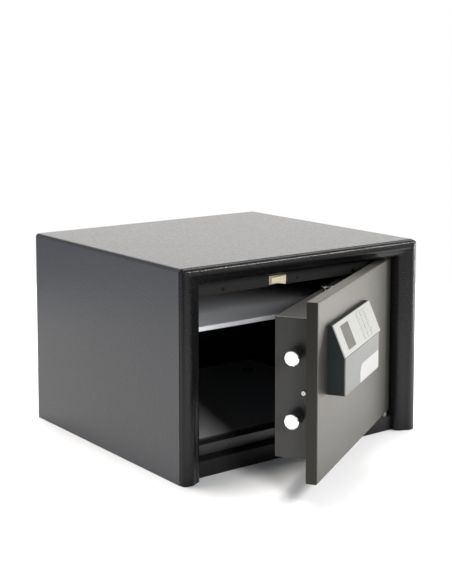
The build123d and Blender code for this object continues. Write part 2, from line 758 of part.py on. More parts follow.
def bolt_carriage():
    """Cross plate that joins both side bolts, with the toothed bar that drives them."""
    x0, x1 = CARRIAGE_X
    margin = BOLT_R + 5
    plate = block(x0, x1, RACK_Y[0], BOLT_Y + 12, BOLTS_Z[1] - margin, BOLTS_Z[0] + margin)
    plate -= [rod_x(x0 - 1, x1 + 1, BOLT_Y, z, BOLT_STUD_R) for z in BOLTS_Z]
    pitch_z, root = big_rack_line()
    teeth = rack_teeth(BIG_MODULE, -44, 4, PINION_X)
    end = teeth[-1][0] + 2
    outline = [(x1 - TINY, RACK_FOOT), (x1 - TINY, root)]
    outline += [(x, pitch_z + out) for x, out in teeth]
    outline += [(end, root), (end, RACK_FOOT)]
    return plate + prism_y(outline, *RACK_Y)


def side_bolts():
    bolts = []
    for z in BOLTS_Z:
        bolt = rod_x(BOLT_END, CARRIAGE_X[0], BOLT_Y, z, BOLT_R)
        bolt = chamfer(bolt.edges().sort_by(Axis.X)[0], 1.2)
        bolts.append(bolt + rod_x(CARRIAGE_X[0] - TINY, CARRIAGE_X[1] + 2, BOLT_Y, z, BOLT_STUD_R))
    return bolts


def top_bolt():
    """Headed bolt on a toothed bar: it rises behind the top strip when the bolts are thrown."""
    pitch_x, root = lift_rack_line()
    teeth = rack_teeth(SMALL_MODULE, 156.5, 188, PINION_Z)
    outline = [(LIFT_X[0], LIFT_FOOT), (root, LIFT_FOOT)]
    outline += [(pitch_x + out, z) for z, out in teeth]
    outline += [(root, TOP_NECK_FOOT), (LIFT_X[0], TOP_NECK_FOOT)]
    bar = prism_y(outline, *LIFT_Y)
    under_head = TOP_BOLT_TOP - TOP_HEAD_T
    neck = rod_z(TOP_NECK_FOOT - 6, under_head + TINY, TOP_BOLT_X, TOP_BOLT_Y, TOP_NECK_R)
    head = rod_z(under_head, TOP_BOLT_TOP, TOP_BOLT_X, TOP_BOLT_Y, TOP_HEAD_R)
    head = chamfer(head.edges().sort_by(Axis.Z)[-1], 0.8)
    return bar + neck + head


def rack_guides():
    """Blocks on the back plate, each with a window that a toothed bar slides through."""
    gap = GUIDE_GAP
    wall = GUIDE_WALL
    x0, x1 = ACROSS_GUIDE_X
    bar_top = big_rack_line()[1]
    across = block(x0, x1, LEAF_BACK, RACK_Y[1] + wall, RACK_FOOT - wall, bar_top + wall)
    across -= block(x0 - 1, x1 + 1, RACK_Y[0] - gap, RACK_Y[1] + gap, RACK_FOOT - gap, bar_top + gap)
    z0, z1 = LIFT_GUIDE_Z
    left = LIFT_X[0]
    right = lift_rack_line()[1]
    lift = block(left - wall, right + wall, LEAF_BACK, LIFT_Y[1] + wall, z0, z1)
    lift -= block(left - gap, right + gap, LIFT_Y[0] - gap, LIFT_Y[1] + gap, z0 - 1, z1 + 1)
    return [across, lift]


def gear_motor():
    y0, y1 = GEARBOX_Y
    boss_end = y0 - BRIDGE_T + 0.1
    motor = rod_y(y0, y1, PINION_X, PINION_Z, GEARBOX_R)
    motor += rod_y(y1 - TINY, MOTOR_CAN_Y, PINION_X, PINION_Z, MOTOR_CAN_R)
    motor += rod_y(boss_end, y0 + TINY, PINION_X, PINION_Z, MOTOR_BOSS_R)
    for dx in TERMINALS_DX:
        x = PINION_X + dx
        tab_z = (PINION_Z - 0.4, PINION_Z + 0.4)
        motor += block(x - 1.5, x + 1.5, MOTOR_CAN_Y - TINY, MOTOR_CAN_Y + 2.2, *tab_z)
    return motor - rod_y(boss_end - 1, SHAFT_Y[1] + 0.5, PINION_X, PINION_Z, SHAFT_R + RUNNING)


def motor_bracket():
    """Sheet bridge over both toothed bars, which holds the motor off the back plate."""
    x0, x1 = BRIDGE_X
    y = GEARBOX_Y[0]
    legs_z = (BRIDGE_LEG_FOOT, BRIDGE_Z[1])
    bridge = block(x0, x1, y - BRIDGE_T, y, *BRIDGE_Z)
    bridge += block(x0, x0 + BRIDGE_FLANGE, LEAF_BACK, y, *legs_z)
    bridge += block(x1 - BRIDGE_FLANGE, x1, LEAF_BACK, y, *legs_z)
    return bridge - rod_y(y - BRIDGE_T - 1, y + 1, PINION_X, PINION_Z, MOTOR_BOSS_R)


def pinion_bush():
    """Blind bush on the back plate, which carries the front end of the pinion's shaft."""
    bush = rod_y(LEAF_BACK, PINION_BUSH_END, PINION_X, PINION_Z, PINION_BUSH_R)
    return bush - rod_y(LEAF_BACK + 2, PINION_BUSH_END + 1, PINION_X, PINION_Z, SHAFT_R + RUNNING)


# ---- keypad console ----


def slope_plane():
    """Plane of the slanted face: X along it, Y up the slope, Z out of it, origin at the fold's left end."""
    rise = (CONSOLE_TOP - FOLD_Z) / SLOPE
    run = (TOP_LIP_Y - CONSOLE_FRONT) / SLOPE
    return Plane((CONSOLE_X[0], CONSOLE_FRONT, FOLD_Z), x_dir=(1, 0, 0), z_dir=(0, -rise, run))


def on_slope(s0, s1, t0, t1, n0, n1):
    """A box laid on the slanted face."""
    return slope_plane() * block(s0, s1, t0, t1, n0, n1)


def soft_slab(s0, s1, t0, t1, n0, n1, radius):
    """A box on the slanted face with its four corner edges rounded."""
    slab = block(s0, s1, t0, t1, n0, n1)
    return slope_plane() * fillet(slab.edges().filter_by(Axis.Z), radius)


def console_outline(inset):
    """(y, z) outline of the console behind its cover plates, inset by a wall thickness."""
    rise = (CONSOLE_TOP - FOLD_Z) / SLOPE
    run = (TOP_LIP_Y - CONSOLE_FRONT) / SLOPE
    depth = PLATE_T + inset
    y_front = CONSOLE_FRONT + depth
    base_y = CONSOLE_FRONT + depth * rise
    base_z = FOLD_Z - depth * run
    z_front = base_z + (y_front - base_y) * rise / run
    z_top = CONSOLE_TOP - inset
    y_top = base_y + (z_top - base_z) * run / rise
    low = CONSOLE_LOW + inset
    return [(LEAF_FRONT, low), (LEAF_FRONT, z_top), (y_top, z_top), (y_front, z_front), (y_front, low)]


def lock_housing():
    """Dark body of the console, stepped in at the lower right, with a bay for the batteries."""
    x0, x1 = CONSOLE_X
    step = FOLD_Z - 2
    t = HOUSING_T
    deep = CONSOLE_FRONT - 1
    low = CONSOLE_LOW
    body = prism_x(console_outline(0), x0, x1)
    body -= block(LOWER_RIGHT, x1 + 1, deep, LEAF_FRONT, low - 1, step)
    room = prism_x(console_outline(t), x0 + t, x1 - t)
    room -= block(LOWER_RIGHT - t, x1, deep, LEAF_FRONT, low - 1, step + t)
    body -= room
    ledge = 2 * t
    body -= on_slope(ledge, x1 - x0 - ledge, ledge, SLOPE - ledge, -PLATE_T - t - 3, 0)
    bay_back = CONSOLE_FRONT + PLATE_T + t + TOOTH_PLAY
    return body - block(COVER_X[0] + 0.8, LOWER_RIGHT + 1, deep, bay_back, low + t, COVER_TOP + t)


def fascia():
    length = CONSOLE_X[1] - CONSOLE_X[0]
    plate = soft_slab(0, length, 0, SLOPE, -PLATE_T, 0, 0.8)
    plate -= on_slope(*WINDOW_S, *WINDOW_T, -PLATE_T - 1, 1)
    for s, t in key_places():
        plate -= key_slab(s, t, KEY_GAP, -PLATE_T - 1, 1)
    return plate


def key_places():
    return [(s, t) for t in KEY_ROWS for s in KEY_COLUMNS]


def key_slab(s, t, grow, n0, n1):
    w = KEY_W / 2 + grow
    h = KEY_H / 2 + grow
    return soft_slab(s - w, s + w, t - h, t + h, n0, n1, 1.2 + grow)


def key(s, t):
    """Flush key: a cap in the fascia and a stem that reaches down to the board."""
    cap = key_slab(s, t, 0, -PLATE_T - 0.4, KEY_PROUD)
    stem = slope_plane() * rod_z(STEM_FOOT, -PLATE_T - 0.3, s, t, STEM_R)
    return cap + stem


def display_window():
    gap = 0.05
    s0, s1 = WINDOW_S
    t0, t1 = WINDOW_T
    return on_slope(s0 + gap, s1 - gap, t0 + gap, t1 - gap, -PLATE_T, -0.3)


def display_module():
    s0, s1 = WINDOW_S
    t0, t1 = WINDOW_T
    return on_slope(s0 - 2, s1 + 2, t0 - 1.5, t1 + 1.5, -5.5, -PLATE_T - 0.2)


def keypad_board():
    return on_slope(*BOARD_S, *BOARD_T, *BOARD_DEPTH)


def battery_cover_outline(grow):
    """(x, z) outline of the battery cover, with its rounded upper left corner."""
    x0 = COVER_X[0] - grow
    top = COVER_TOP + grow
    low = CONSOLE_LOW - (1 if grow else 0)
    right = LOWER_RIGHT + 1 if grow else COVER_X[1]
    r = COVER_R + grow
    rim = r * (1 - math.sqrt(0.5))
    arc = ThreePointArc((x0, top - r), (x0 + rim, top - rim), (x0 + r, top))
    rest = Polyline((x0 + r, top), (right, top), (right, low), (x0, low), (x0, top - r))
    return make_face(Curve() + [arc, rest])


def front_plate():
    plate = block(CONSOLE_X[0], LOWER_RIGHT, CONSOLE_FRONT, CONSOLE_FRONT + PLATE_T, CONSOLE_LOW, FOLD_Z - 0.8)
    hole = Plane.XZ.offset(-CONSOLE_FRONT + 1) * battery_cover_outline(0.25)
    return plate - extrude(hole, -PLATE_T - 2)


def battery_cover():
    """Cover that slides off to the right, held by a tongue behind the front plate."""
    face = Plane.XZ.offset(-CONSOLE_FRONT) * battery_cover_outline(0)
    plate = extrude(face, -PLATE_T)
    x0 = COVER_X[0] + 1.2
    x1 = COVER_X[1]
    y = CONSOLE_FRONT + PLATE_T + FIT_GAP
    neck = block(x0, x1, y - FIT_GAP - TINY, y, COVER_LOW, COVER_TOP - COVER_R)
    tongue = block(x0, x1, y, y + TONGUE_T, COVER_LOW, COVER_TOP + 1.6)
    return plate + neck + tongue


def battery_tray():
    x0 = COVER_X[0] + 1.5
    x1 = LOWER_RIGHT - HOUSING_T - 0.3
    tray = block(x0, x1, TRAY_FRONT, LEAF_FRONT, TRAY_LOW, COVER_TOP)
    for cell in batteries(0.4):
        tray -= cell
    top = COVER_TOP - TRAY_WALL
    return tray - block(CELL_FIRST_X, x1 - TRAY_WALL, TRAY_FRONT - 1, CELL_Y, TRAY_LOW + TRAY_WALL, top)


def batteries(grow=0.0):
    """Four cells, two abreast in two rows, end to end."""
    cells = []
    for z in CELL_ROWS_Z:
        for x in (CELL_FIRST_X, CELL_FIRST_X + CELL_L + CELL_SPACE):
            cells.append(rod_x(x - grow, x + CELL_L + grow, CELL_Y, z, CELL_R + grow))
    return cells


def save_cabinet():
    shell = outer_shell()
    left = post()
    save("outer_shell", shell)
    save("left_post", left)
    save("right_post", mirror(left, Plane.YZ))
    save("top_rail", top_rail())
    save("kick_panel", kick_panel())
    save("base_plate", base_plate())
    save("back_plate", back_plate(shell))
    save("liner", liner())
    save("liner_flange", liner_flange())
    save("insulation_panels", *insulation_panels())
    save("anchor_sleeves", *anchor_sleeves())
    save("top_strip", top_strip())
    save("bottom_strip", strip(-STRIP_HALF_W, STRIP_HALF_W, STRIP_Z[0], DOORWAY_Z[0]))
    save("side_strips", *side_strips())
    save("strip_screws", *strip_screws())
    save("strip_nuts", *strip_nuts())
    save("top_keeper", top_keeper())
    save("shelf", shelf())
    save("shelf_supports", *shelf_supports())
    save("floor_mat", floor_mat())
    save("hinge_pins", *hinge_pins())
    save("hinge_seats", *hinge_seats())
    save("hinge_washers", *hinge_washers())


def save_door():
    save_hung("door_leaf", door_leaf())
    save_hung("door_back_plate", door_back_plate())
    save_hung("hinge_blocks", *hinge_blocks())
    save_hung("hinge_bushes", *hinge_bushes())
    save_hung("door_box", door_box())
    save_hung("cover_screws", *cover_screws())
    save_hung("bolt_bushes", *bolt_bushes())
    save_hung("top_bolt_bush", top_bolt_bush())
    save_hung("rack_guides", *rack_guides())
    save_hung("gear_motor", gear_motor())
    save_hung("motor_bracket", motor_bracket())
    save_hung("pinion_bush", pinion_bush())


def save_bolt_work():
    save_hung("drive_pinion", drive_pinion())
    save_hung("bolt_carriage", bolt_carriage())
    save_hung("side_bolts", *side_bolts())
    save_hung("top_bolt", top_bolt())


def save_console():
    save_hung("lock_housing", lock_housing())
    save_hung("fascia", fascia())
    save_hung("front_plate", front_plate())
    save_hung("display_window", display_window())
    save_hung("display_module", display_module())
    save_hung("keypad_board", keypad_board())
    save_hung("battery_tray", battery_tray())
    save_hung("batteries", *batteries())
    save_hung("battery_cover", battery_cover())
    for name, (s, t) in zip(KEY_NAMES, key_places()):
        save_hung(f"key_{name}", key(s, t))


os.makedirs("parts", exist_ok=True)
save_cabinet()
save_door()
save_bolt_work()
save_console()
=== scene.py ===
import json
import math

import bmesh
import bpy
from mathutils import Matrix, Vector


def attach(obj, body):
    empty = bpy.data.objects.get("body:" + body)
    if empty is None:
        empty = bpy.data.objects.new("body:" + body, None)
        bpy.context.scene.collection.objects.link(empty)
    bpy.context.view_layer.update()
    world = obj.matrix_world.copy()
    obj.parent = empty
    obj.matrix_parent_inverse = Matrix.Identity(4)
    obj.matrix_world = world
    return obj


# In-room safe with its door ajar.
# Metres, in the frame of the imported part: +Z up, +Y into the cabinet, +X towards the hinge.
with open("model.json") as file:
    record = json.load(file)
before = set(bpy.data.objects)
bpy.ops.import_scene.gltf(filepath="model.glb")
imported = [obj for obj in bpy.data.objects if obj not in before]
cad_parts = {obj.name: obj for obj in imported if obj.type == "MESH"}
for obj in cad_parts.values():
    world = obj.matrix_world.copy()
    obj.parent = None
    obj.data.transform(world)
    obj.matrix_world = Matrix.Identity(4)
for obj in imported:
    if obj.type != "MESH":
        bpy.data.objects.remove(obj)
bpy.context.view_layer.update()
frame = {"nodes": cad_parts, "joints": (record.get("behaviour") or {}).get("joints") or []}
nodes = frame["nodes"]
joints = {joint["name"]: joint for joint in frame["joints"]}
KEYS = [name for name in nodes if name.startswith("key_")]

MM = 0.001

# ---- what the joints say about the open door ----
ALONG = Vector(joints["bolt_throw"]["axis"]).normalized()
INWARD = Vector(joints["key_1_press"]["axis"]).normalized()
UPSLOPE = ALONG.cross(INWARD).normalized()
if UPSLOPE.z < 0:
    UPSLOPE = -UPSLOPE
DOOR_ANGLE = math.atan2(ALONG.y, ALONG.x)

# Painted shade: the leaf's folded free edge, which faces away from the light, is darkened against
# its face, and the tone changes over a narrow band behind it.
EDGE_DEPTH = 0.5 * MM
EDGE_BLEND = 0.3 * MM
LEAF_END = min(vertex.co.dot(ALONG) for vertex in nodes["door_leaf"].data.vertices)
EDGE_START = LEAF_END + EDGE_DEPTH
EDGE_END = EDGE_START + EDGE_BLEND

# ---- camera ----
CAMERA_AT = (-1.2383, -1.6704, 0.6411)
CAMERA_YAW = 37.254
CAMERA_PITCH = 5.986
CAMERA_LENS = 77.32
CAMERA_SHIFT = (-0.0232, -0.2)
CAMERA_CLIP = (0.05, 60)

# ---- colours, linear ----
SHELL = (0.026, 0.027, 0.034)
FRAME_BLACK = (0.0055, 0.0055, 0.0057)
LINER = (0.010, 0.0105, 0.0115)
STRIP = (0.018, 0.0176, 0.017)
SHELF = (0.70, 0.71, 0.74)
LEAF = (0.086, 0.082, 0.075)
# painted shade for the leaf's free edge, multiplied into the leaf colour
EDGE_SHADE = (0.36, 0.36, 0.34)
CASE = (0.013, 0.0125, 0.011)
ZINC = (0.48, 0.48, 0.47)
SCREW = (0.16, 0.15, 0.145)
CHROME = (0.70, 0.70, 0.685)
BRASS = (0.72, 0.55, 0.26)
NYLON = (0.010, 0.010, 0.011)
KEEPER = (0.60, 0.54, 0.38)
FELT = (0.018, 0.018, 0.019)
WOOL = (0.45, 0.40, 0.28)
HOUSING = (0.008, 0.0105, 0.0115)
FASCIA = (0.262, 0.264, 0.251)
PLATE = (0.088, 0.091, 0.090)
COVER = (0.245, 0.245, 0.242)
WINDOW = (0.078, 0.075, 0.068)
BOARD = (0.012, 0.10, 0.04)
CELL = (0.03, 0.035, 0.05)
PRINT = (0.226, 0.228, 0.218)
FLOOR = (0.82, 0.82, 0.82)

# ---- floor disc ----
FLOOR_RADIUS = 1.35
FLOOR_DROP = 0.4 * MM
FLOOR_SEGMENTS = 96

# ---- tones of the light ----
COOL = (0.84, 0.91, 1.0)
WARM = (1.0, 0.98, 0.94)
SUN_TINT = (1.0, 0.97, 0.93)

# ---- brightness of the surroundings ----
WORLD_REST = 0.20
WORLD_LOWER = 0.12
WORLD_RIGHT = 1.5
WORLD_BACK = 1.62
WORLD_LEFT = 0.85

# ---- where they change: bands of the direction's X, Y or Z, from none to full ----
RIGHT_X = (0.55, 0.90)
BACK_X = (-0.05, 0.45)
BACK_Y = (0.30, 0.70)
LEFT_X = (-0.15, -0.50)
LEFT_Y = (0.20, 0.65)
LOW_Z = (0.75, 0.30)
HORIZON_Z = (-0.1, 0.1)
TONE_X = (-0.3, 0.3)

# ---- the part of a pattern's range that most of it lies in ----
MIDDLE = (0.3, 0.7)


# ---- materials ----


class Surface:
    """A node-based material: a colour, a roughness and a bump from patterns in object space."""

    def __init__(
        self, name, colour, rough, metallic=0.0, coat=0.0, coat_rough=0.2, specular=0.5
    ):
        self.material = bpy.data.materials.new(name)
        self.material.use_nodes = True
        self.tree = self.material.node_tree
        self.shader = self.tree.nodes["Principled BSDF"]
        self.shader.inputs["Base Color"].default_value = (*colour, 1)
        self.shader.inputs["Roughness"].default_value = rough
        self.shader.inputs["Metallic"].default_value = metallic
        self.shader.inputs["Coat Weight"].default_value = coat
        self.shader.inputs["Coat Roughness"].default_value = coat_rough
        self.shader.inputs["Specular IOR Level"].default_value = specular
        self.colour = colour
        self.height = None
        self.place = self.node("ShaderNodeMapping")
        coordinates = self.node("ShaderNodeTexCoord")
        self.link(coordinates.outputs["Object"], self.place.inputs["Vector"])

    def node(self, kind, **values):
        made = self.tree.nodes.new(kind)
        for key, value in values.items():
            setattr(made, key, value)
        return made

    def link(self, source, target):
        self.tree.links.new(source, target)

    def turned(self, angle, stretch=(1, 1, 1)):
        """Lay the patterns along a body that stands at an angle about +Z, and stretch them."""
        self.place.inputs["Rotation"].default_value = (0, 0, -angle)
        self.place.inputs["Scale"].default_value = stretch
        return self

    def noise(self, size_mm, detail=2.0, rough=0.5):
        pattern = self.node("ShaderNodeTexNoise")
        pattern.inputs["Scale"].default_value = 1 / (size_mm * MM)
        pattern.inputs["Detail"].default_value = detail
        pattern.inputs["Roughness"].default_value = rough
        self.link(self.place.outputs["Vector"], pattern.inputs["Vector"])
        return pattern.outputs["Fac"]

    def pebbles(self, size_mm):
        pattern = self.node("ShaderNodeTexVoronoi", feature="SMOOTH_F1")
        pattern.inputs["Scale"].default_value = 1 / (size_mm * MM)
        pattern.inputs["Smoothness"].default_value = 0.7
        self.link(self.place.outputs["Vector"], pattern.inputs["Vector"])
        return pattern.outputs["Distance"]

    def beyond(self, start, end):
        """0 before start and 1 past end, measured along the open door from the origin."""
        across = self.node("ShaderNodeSeparateXYZ")
        self.link(self.place.outputs["Vector"], across.inputs["Vector"])
        return self.spread(across.outputs["X"], 0, 1, (start, end))

    def spread(self, value, low, high, into=MIDDLE):
        """Map a pattern's middle range onto low to high."""
        made = self.node("ShaderNodeMapRange")
        made.inputs["From Min"].default_value = into[0]
        made.inputs["From Max"].default_value = into[1]
        made.inputs["To Min"].default_value = low
        made.inputs["To Max"].default_value = high
        self.link(value, made.inputs["Value"])
        return made.outputs["Result"]

    def tinted(self, pattern, dark, light, into=MIDDLE):
        """Multiply the colour by a tone between dark and light, on top of any earlier variation."""
        ramp = self.node("ShaderNodeMix", data_type="RGBA", blend_type="MULTIPLY")
        ramp.inputs["Factor"].default_value = 1.0
        socket = self.shader.inputs["Base Color"]
        if socket.is_linked:
            self.link(socket.links[0].from_socket, ramp.inputs["A"])
        else:
            ramp.inputs["A"].default_value = (*self.colour, 1)
        shade = self.node("ShaderNodeMix", data_type="RGBA")
        shade.inputs["A"].default_value = (*dark, 1)
        shade.inputs["B"].default_value = (*light, 1)
        self.link(self.spread(pattern, 0, 1, into), shade.inputs["Factor"])
        self.link(shade.outputs["Result"], ramp.inputs["B"])
        self.link(ramp.outputs["Result"], socket)
        return self

    def mottled(self, pattern, amount, into=MIDDLE):
        return self.tinted(pattern, (1 - amount,) * 3, (1 + amount,) * 3, into)

    def worn(self, pattern, low, high):
        self.link(self.spread(pattern, low, high), self.shader.inputs["Roughness"])
        return self

    def bumped(self, pattern, depth_mm, strength=1.0):
        bump = self.node("ShaderNodeBump")
        bump.inputs["Strength"].default_value = strength
        bump.inputs["Distance"].default_value = depth_mm * MM
        self.link(pattern, bump.inputs["Height"])
        if self.height:
            self.link(self.height.outputs["Normal"], bump.inputs["Normal"])
        self.height = bump
        self.link(bump.outputs["Normal"], self.shader.inputs["Normal"])
        return self


def shell_coat():
    made = Surface("shell_hammer_coat", SHELL, rough=0.40, coat=0.3, coat_rough=0.28, specular=0.4)
    made.mottled(made.noise(size_mm=160, detail=1), amount=0.06)
    made.mottled(made.noise(size_mm=1.8), amount=0.30)
    made.worn(made.noise(size_mm=2.2), low=0.28, high=0.46)
    made.bumped(made.pebbles(size_mm=2.6), depth_mm=0.30, strength=0.8)
    return made.material


def frame_coat():
    made = Surface("frame_texture_coat", FRAME_BLACK, rough=0.24, specular=0.22)
    made.mottled(made.noise(size_mm=0.9), amount=0.5)
    made.worn(made.noise(size_mm=1.3), low=0.18, high=0.30)
    made.bumped(made.pebbles(size_mm=2.0), depth_mm=0.28, strength=0.9)
    return made.material


def liner_coat():
    made = Surface("liner_powder_coat", LINER, rough=0.55)
    made.mottled(made.noise(size_mm=0.7), amount=0.3)
    made.worn(made.noise(size_mm=2), low=0.48, high=0.66)
    made.bumped(made.noise(size_mm=0.9, detail=3), depth_mm=0.05, strength=0.6)
    return made.material


def strip_coat():
    made = Surface("strip_satin_black", STRIP, rough=0.34, coat=0.3, coat_rough=0.3)
    made.mottled(made.noise(size_mm=0.6), amount=0.3)
    made.worn(made.noise(size_mm=4), low=0.28, high=0.42)
    made.bumped(made.noise(size_mm=0.8), depth_mm=0.03, strength=0.5)
    return made.material


def shelf_coat():
    made = Surface("shelf_light_coat", SHELF, rough=0.42)
    made.mottled(made.noise(size_mm=0.6), amount=0.03)
    made.mottled(made.noise(size_mm=40), amount=0.02)
    made.worn(made.noise(size_mm=3), low=0.36, high=0.5)
    made.bumped(made.noise(size_mm=0.8, detail=3), depth_mm=0.02, strength=0.5)
    return made.material


def leaf_coat():
    made = Surface("leaf_metallic_coat", LEAF, rough=0.42, metallic=0.85, specular=0.3)
    made.turned(DOOR_ANGLE)
    # painted shade: darken the leaf's free edge that faces away from the light
    made.tinted(made.beyond(EDGE_START, EDGE_END), dark=EDGE_SHADE, light=(1, 1, 1), into=(0, 1))
    made.mottled(made.noise(size_mm=0.35), amount=0.10)
    made.mottled(made.noise(size_mm=90, detail=1), amount=0.03)
    made.worn(made.noise(size_mm=0.8), low=0.36, high=0.48)
    made.bumped(made.noise(size_mm=0.7, detail=3), depth_mm=0.03, strength=0.6)
    return made.material


def case_coat():
    made = Surface("case_dark_coat", CASE, rough=0.50, coat=0.1)
    made.turned(DOOR_ANGLE)
    made.mottled(made.noise(size_mm=0.6), amount=0.12)
    made.worn(made.noise(size_mm=1.5), low=0.44, high=0.58)
    made.bumped(made.noise(size_mm=0.8, detail=3), depth_mm=0.035, strength=0.6)
    return made.material


def zinc(name="zinc_plated_steel", stretch=(1, 1, 8)):
    made = Surface(name, ZINC, rough=0.32, metallic=1.0)
    made.turned(DOOR_ANGLE, stretch)
    made.mottled(made.noise(size_mm=1.2, detail=3), amount=0.10)
    made.worn(made.noise(size_mm=0.7), low=0.24, high=0.42)
    made.bumped(made.noise(size_mm=0.5), depth_mm=0.01, strength=0.5)
    return made.material


def black_zinc():
    made = Surface("screw_black_zinc", SCREW, rough=0.25, metallic=1.0)
    made.mottled(made.noise(size_mm=0.8), amount=0.2)
    made.worn(made.noise(size_mm=0.6), low=0.2, high=0.35)
    return made.material


def polished_chrome():
    made = Surface("bolt_chrome", CHROME, rough=0.10, metallic=1.0)
    made.turned(DOOR_ANGLE, (0.3, 1, 1))
    made.mottled(made.noise(size_mm=3), amount=0.03)
    made.worn(made.noise(size_mm=0.9, detail=3), low=0.06, high=0.17)
    made.bumped(made.noise(size_mm=0.35), depth_mm=0.004, strength=0.5)
    return made.material


def machined_brass():
    made = Surface("gear_brass", BRASS, rough=0.28, metallic=1.0)
    made.mottled(made.noise(size_mm=1.0, detail=3), amount=0.10)
    made.worn(made.noise(size_mm=0.6), low=0.22, high=0.38)
    made.bumped(made.noise(size_mm=0.4), depth_mm=0.01, strength=0.5)
    return made.material


def moulded(name, colour, rough, grain_mm=0.5, depth_mm=0.02, tint=0.05, specular=0.5):
    """Moulded plastic with a fine eroded grain."""
    made = Surface(name, colour, rough, specular=specular)
    made.turned(DOOR_ANGLE)
    made.mottled(made.noise(size_mm=grain_mm * 1.5), amount=tint)
    made.mottled(made.noise(size_mm=30, detail=1), amount=tint / 2)
    made.worn(made.noise(size_mm=grain_mm * 2), low=rough - 0.05, high=rough + 0.07)
    made.bumped(made.noise(size_mm=grain_mm, detail=3), depth_mm=depth_mm, strength=0.5)
    return made.material


def silver_paint():
    made = Surface("fascia_silver_paint", FASCIA, rough=0.55, metallic=0.1, specular=0.25)
    made.turned(DOOR_ANGLE)
    made.mottled(made.noise(size_mm=0.25), amount=0.05)
    made.worn(made.noise(size_mm=0.8), low=0.50, high=0.62)
    made.bumped(made.noise(size_mm=0.4), depth_mm=0.008, strength=0.5)
    return made.material


def plate_paint():
    made = Surface("front_plate_grey", PLATE, rough=0.44, metallic=0.3)
    made.turned(DOOR_ANGLE)
    made.mottled(made.noise(size_mm=0.3), amount=0.06)
    made.mottled(made.noise(size_mm=60, detail=1), amount=0.05)
    made.worn(made.noise(size_mm=0.8), low=0.38, high=0.50)
    made.bumped(made.noise(size_mm=0.4), depth_mm=0.01, strength=0.5)
    return made.material


def display_grey():
    made = Surface("display_window_grey", WINDOW, rough=0.50, specular=0.12)
    made.turned(DOOR_ANGLE)
    made.mottled(made.noise(size_mm=0.5), amount=0.04)
    made.mottled(made.noise(size_mm=25, detail=1), amount=0.05)
    made.worn(made.noise(size_mm=6), low=0.45, high=0.55)
    return made.material


def felt():
    made = Surface("mat_needle_felt", FELT, rough=0.95)
    made.shader.inputs["Sheen Weight"].default_value = 0.4
    made.shader.inputs["Sheen Roughness"].default_value = 0.5
    made.mottled(made.noise(size_mm=0.8, detail=4, rough=0.7), amount=0.5)
    made.mottled(made.noise(size_mm=12), amount=0.15)
    made.bumped(made.noise(size_mm=0.6, detail=5, rough=0.7), depth_mm=0.4, strength=0.8)
    return made.material


def mineral_wool():
    made = Surface("mineral_wool", WOOL, rough=0.95)
    made.place.inputs["Scale"].default_value = (1, 3, 1)
    made.mottled(made.noise(size_mm=3, detail=5, rough=0.7), amount=0.35)
    made.bumped(made.noise(size_mm=2, detail=5, rough=0.7), depth_mm=0.8, strength=0.9)
    return made.material


def circuit_board():
    made = Surface("circuit_board", BOARD, rough=0.35, coat=0.4)
    made.turned(DOOR_ANGLE, (1, 3, 1))
    made.mottled(made.noise(size_mm=2.5, detail=1), amount=0.4, into=(0.47, 0.53))
    made.bumped(made.noise(size_mm=2.5, detail=1), depth_mm=0.03, strength=0.5)
    return made.material


def cell_sleeve():
    made = Surface("battery_sleeve", CELL, rough=0.22, coat=0.5)
    made.turned(DOOR_ANGLE)
    made.mottled(made.noise(size_mm=8, detail=1), amount=0.25)
    made.worn(made.noise(size_mm=3), low=0.18, high=0.3)
    return made.material


def print_ink():
    made = Surface("legend_print", PRINT, rough=0.6)
    made.mottled(made.noise(size_mm=0.2), amount=0.15)
    return made.material


def floor_paper():
    made = Surface("studio_floor", FLOOR, rough=0.85, specular=0.1)
    made.mottled(made.noise(size_mm=400), amount=0.006)
    made.mottled(made.noise(size_mm=1.5), amount=0.008)
    made.bumped(made.noise(size_mm=1.2, detail=3), depth_mm=0.02, strength=0.3)
    return made.material


def dress(material, *names):
    """Give CAD nodes a material in place of the plain one they come with."""
    for name in names:
        for slot in nodes[name].material_slots:
            slot.material = material


def dress_cabinet():
    steel = zinc()
    dress(shell_coat(), "outer_shell", "back_plate", "base_plate")
    dress(frame_coat(), "left_post", "right_post", "top_rail", "kick_panel")
    dress(liner_coat(), "liner", "liner_flange", "shelf_supports")
    dress(strip_coat(), "top_strip", "bottom_strip", "side_strips")
    dress(black_zinc(), "strip_screws", "hinge_pins", "hinge_washers")
    dress(steel, "anchor_sleeves", "strip_nuts", "hinge_seats")
    dress(steel, "hinge_blocks", "cover_screws", "motor_bracket", "bolt_carriage")
    dress(mineral_wool(), "insulation_panels")
    dress(moulded("keeper_nylon", KEEPER, rough=0.42, grain_mm=0.8), "top_keeper")
    dress(shelf_coat(), "shelf")
    dress(felt(), "floor_mat")


def dress_door():
    nylon = moulded("bush_nylon", NYLON, rough=0.45)
    dress(leaf_coat(), "door_leaf")
    dress(case_coat(), "door_box", "door_back_plate")
    dress(nylon, "bolt_bushes", "top_bolt_bush", "rack_guides")
    dress(machined_brass(), "hinge_bushes", "pinion_bush", "drive_pinion")
    dress(zinc("motor_plated", (1, 1, 1)), "gear_motor")
    dress(polished_chrome(), "side_bolts", "top_bolt")


def dress_console():
    black = moulded("tray_black", NYLON, rough=0.5)
    housing = moulded("housing_black", HOUSING, rough=0.50, grain_mm=0.4, specular=0.2)
    cover = moulded(
        "cover_white", COVER, rough=0.34, grain_mm=0.3, depth_mm=0.01, tint=0.02, specular=0.3
    )
    dress(housing, "lock_housing")
    dress(silver_paint(), "fascia", *KEYS)
    dress(plate_paint(), "front_plate")
    dress(cover, "battery_cover")
    dress(display_grey(), "display_window")
    dress(circuit_board(), "display_module", "keypad_board")
    dress(black, "battery_tray")
    dress(cell_sleeve(), "batteries")


# ---- printed legends ----

LEGENDS = {"clear": "C", "enter": "OK"}
LEGEND_SIZE = 4.86 * MM
LEGEND_UP = 0.05 * MM
LEGEND_T = 0.04 * MM
LEGEND_STEPS = 6
CAP_TOLERANCE = 0.1 * MM


